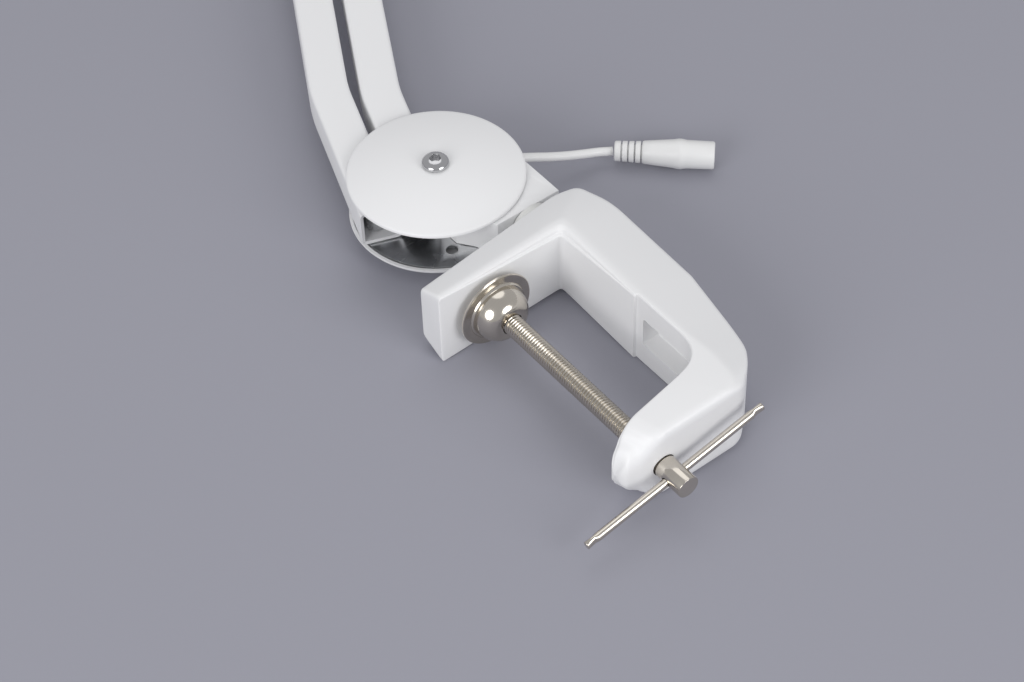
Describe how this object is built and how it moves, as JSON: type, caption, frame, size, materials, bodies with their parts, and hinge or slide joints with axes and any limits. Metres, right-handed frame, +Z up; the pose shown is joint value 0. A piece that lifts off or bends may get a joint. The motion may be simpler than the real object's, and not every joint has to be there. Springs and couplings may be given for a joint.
{
  "type": "magnifying lamp",
  "caption": "Bench magnifying lamp: screw clamp, swivelling base joint, parallel square-tube arms with domed joint covers, and a round ring-light magnifier head, with a short lead and jack.",
  "frame": {"origin": "middle of the underside of the whole lamp without its free lead, on the surface that it lies on", "axes": "The lamp lies on its side, as it does before it is put up. +Z is up from that surface. +Y runs from the clamp's handle along the clamp screw towards the arms, and is up when the lamp is clamped to a table: turn the row +90 degrees about +X for that. The clamp's jaws open towards -X."},
  "size_m": [0.6164, 0.6914, 0.0342],
  "materials": {
    "white_coat": "white powder coat, satin",
    "white_moulding": "white moulded ABS, satin",
    "nickel": "warm nickel plate",
    "chrome": "bright chrome plate",
    "zinc_steel": "zinc plated steel",
    "vinyl": "white vinyl, satin",
    "nylon": "natural nylon",
    "button_rubber": "grey silicone rubber",
    "lens_glass": "clear polished",
    "opal": "opal acrylic",
    "board": "solder-masked circuit board"
  },
  "bodies": {
    "clamp": {"clamp_frame": "white_coat", "post_bush": "nylon"},
    "pad": {"swivel_pad": "nickel"},
    "screw": {"clamp_screw": "nickel"},
    "handle": {"t_bar": "nickel"},
    "base": {"swivel_post": "zinc_steel", "neck_bracket": "white_coat", "base_plate_top": "zinc_steel", "base_plate_bottom": "zinc_steel", "base_cover_top": "white_coat", "base_cover_bottom": "white_coat", "base_screw": "chrome", "base_nut": "chrome", "base_spacer": "zinc_steel", "base_pivot_a": "zinc_steel", "base_pivot_b": "zinc_steel", "bracket_rivet_1": "zinc_steel", "bracket_rivet_2": "zinc_steel", "cord_clip": "nylon", "power_lead": "vinyl", "power_jack": "vinyl", "jack_contact": "nickel"},
    "lower_a": {"lower_tube_a": "white_coat", "lower_spring": "zinc_steel"},
    "lower_b": {"lower_tube_b": "white_coat", "lower_inner_lead": "vinyl"},
    "elbow": {"elbow_plate_top": "zinc_steel", "elbow_plate_bottom": "zinc_steel", "elbow_cover_top": "white_coat", "elbow_cover_bottom": "white_coat", "elbow_screw": "chrome", "elbow_nut": "chrome", "elbow_spacer": "zinc_steel", "elbow_pivot_low_a": "zinc_steel", "elbow_pivot_low_b": "zinc_steel", "elbow_pivot_up_a": "zinc_steel", "elbow_pivot_up_b": "zinc_steel"},
    "upper_a": {"upper_tube_a": "white_coat", "upper_spring": "zinc_steel"},
    "upper_b": {"upper_tube_b": "white_coat", "upper_inner_lead": "vinyl"},
    "wrist": {"wrist_plate_top": "zinc_steel", "wrist_plate_bottom": "zinc_steel", "wrist_cover_top": "white_coat", "wrist_cover_bottom": "white_coat", "wrist_screw": "chrome", "wrist_nut": "chrome", "wrist_pivot_a": "zinc_steel", "wrist_pivot_b": "zinc_steel"},
    "tilt": {"tilt_lug": "white_coat"},
    "head": {"head_stem": "zinc_steel", "head_housing": "white_moulding", "head_bezel": "white_moulding", "lens_ring": "white_moulding", "magnifying_lens": "lens_glass", "light_diffuser": "opal", "led_board": "board"},
    "power_key": {"power_button": "button_rubber"},
    "brighter_key": {"brighter_button": "button_rubber"},
    "dimmer_key": {"dimmer_button": "button_rubber"}
  },
  "joints": [
    {"name": "base_swivel", "type": "hinge", "parent": "clamp", "child": "base", "pos_m": [0.1466, -0.2104, 0.01675], "axis": [0, 1, 0], "range_deg": [-175, 175]},
    {"name": "pad_travel", "type": "slide", "parent": "clamp", "child": "pad", "axis": [0, 1, 0], "range_m": [-0.06, 0.0025]},
    {"name": "screw_turn", "type": "hinge", "parent": "pad", "child": "screw", "pos_m": [0.1095, -0.2372, 0.01675], "axis": [0, 1, 0], "range_deg": [-17280, 720]},
    {"name": "t_bar_slide", "type": "slide", "parent": "screw", "child": "handle", "axis": [0.981, 0, 0.1942], "range_m": [-0.031, 0.031]},
    {"name": "lower_arm_a_swing", "type": "hinge", "parent": "base", "child": "lower_a", "pos_m": [0.10471, -0.16922, 0.01675], "axis": [0, 0, 1], "range_deg": [-5, 80]},
    {"name": "lower_arm_b_swing", "type": "hinge", "parent": "base", "child": "lower_b", "pos_m": [0.12853, -0.15871, 0.01675], "axis": [0, 0, 1], "range_deg": [-5, 80]},
    {"name": "elbow_level", "type": "hinge", "parent": "lower_a", "child": "elbow", "pos_m": [0.26804, 0.1728, 0.01675], "axis": [0, 0, 1], "range_deg": [-80, 5]},
    {"name": "upper_arm_a_swing", "type": "hinge", "parent": "elbow", "child": "upper_a", "pos_m": [0.24982, 0.19387, 0.01675], "axis": [0, 0, 1], "range_deg": [-75, 15]},
    {"name": "upper_arm_b_swing", "type": "hinge", "parent": "elbow", "child": "upper_b", "pos_m": [0.26816, 0.2122, 0.01675], "axis": [0, 0, 1], "range_deg": [-75, 15]},
    {"name": "wrist_level", "type": "hinge", "parent": "upper_a", "child": "wrist", "pos_m": [-0.06894, 0.27928, 0.01675], "axis": [0, 0, 1], "range_deg": [-15, 75]},
    {"name": "head_tilt", "type": "hinge", "parent": "wrist", "child": "tilt", "pos_m": [-0.07696, 0.30029, 0.01675], "axis": [0, 0, 1], "range_deg": [-90, 35]},
    {"name": "head_swivel", "type": "hinge", "parent": "tilt", "child": "head", "pos_m": [-0.11455, 0.28661, 0.01675], "axis": [-0.9397, -0.342, 0], "range_deg": [-180, 90]},
    {"name": "power_press", "type": "slide", "parent": "head", "child": "power_key", "axis": [-0.6691, -0.7431, 0], "range_m": [0, 0.0012], "stiffness_N_per_m": 400, "springref_m": -0.0004},
    {"name": "brighter_press", "type": "slide", "parent": "head", "child": "brighter_key", "axis": [-0.5299, -0.848, 0], "range_m": [0, 0.0012], "stiffness_N_per_m": 400, "springref_m": -0.0004},
    {"name": "dimmer_press", "type": "slide", "parent": "head", "child": "dimmer_key", "axis": [-0.3746, -0.9272, 0], "range_m": [0, 0.0012], "stiffness_N_per_m": 400, "springref_m": -0.0004}
  ],
  "couplings": [
    {"joint": "screw_turn", "follows": "pad_travel", "rad_per_m": 5026.5},
    {"joint": "lower_arm_b_swing", "follows": "lower_arm_a_swing", "ratio": 1},
    {"joint": "elbow_level", "follows": "lower_arm_a_swing", "ratio": -1},
    {"joint": "upper_arm_b_swing", "follows": "upper_arm_a_swing", "ratio": 1},
    {"joint": "wrist_level", "follows": "upper_arm_a_swing", "ratio": -1}
  ]
}
